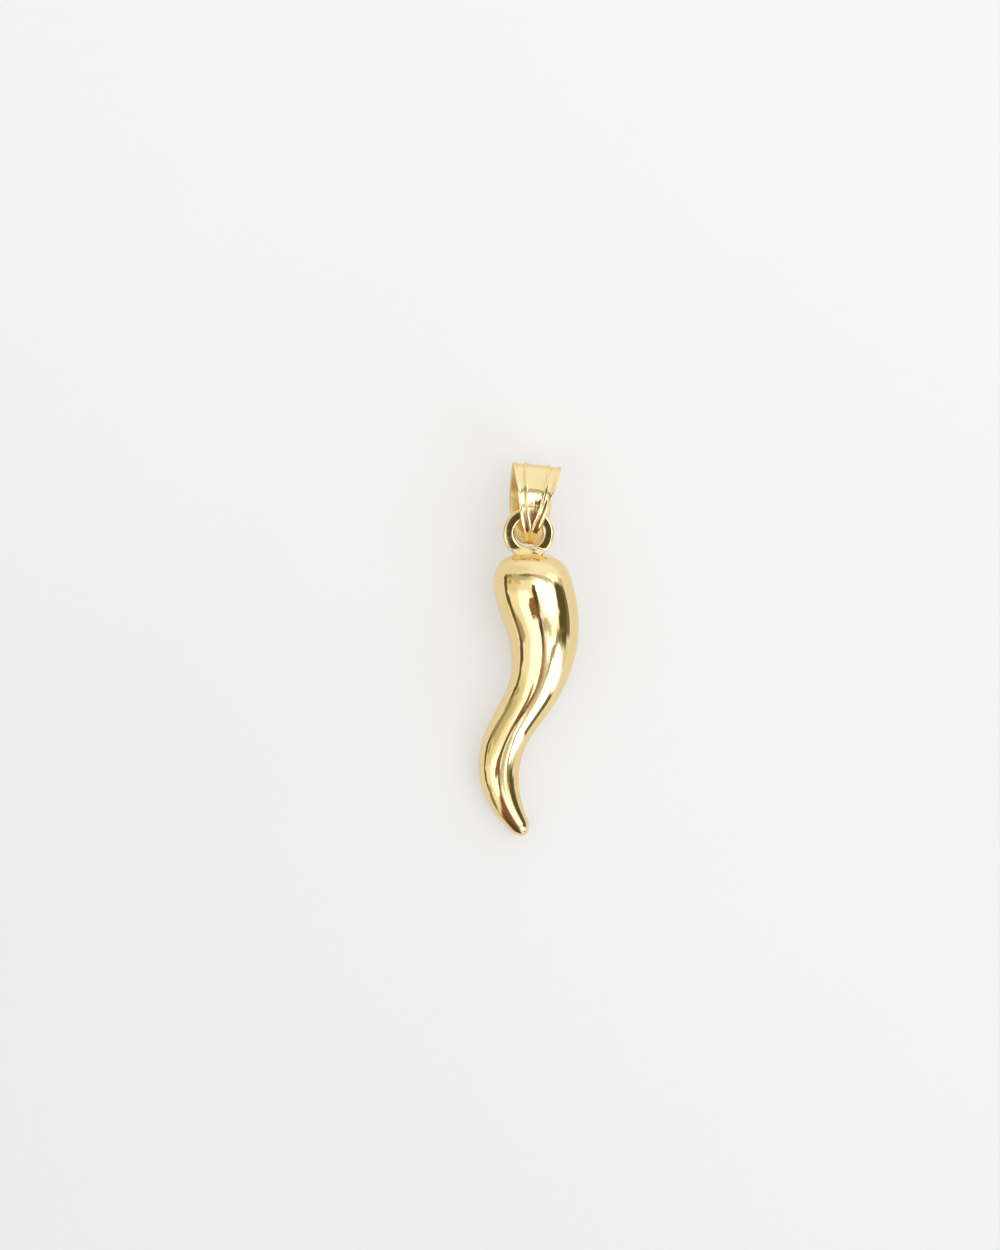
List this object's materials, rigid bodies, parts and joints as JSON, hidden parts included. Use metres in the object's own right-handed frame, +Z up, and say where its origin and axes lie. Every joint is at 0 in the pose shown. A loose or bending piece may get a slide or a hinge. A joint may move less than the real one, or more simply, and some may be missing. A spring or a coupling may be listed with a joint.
{
  "type": "cornicello horn pendant",
  "caption": "Curved hollow gold horn charm with a ring soldered to its domed crown and a tapered fluted bail, for hanging on a fine chain.",
  "frame": {"origin": "on the surface that the pendant lies on, under the middle of its bounding box", "axes": "+X to the right and +Y towards the bail as the pendant lies face up, +Z up from the surface"},
  "size_m": [0.008, 0.0298, 0.0056],
  "materials": {
    "yellow_gold": "mirror-polished yellow gold with fine handling scratches"
  },
  "bodies": {
    "root": {"horn": "yellow_gold", "bail": "yellow_gold"}
  },
  "joints": []
}
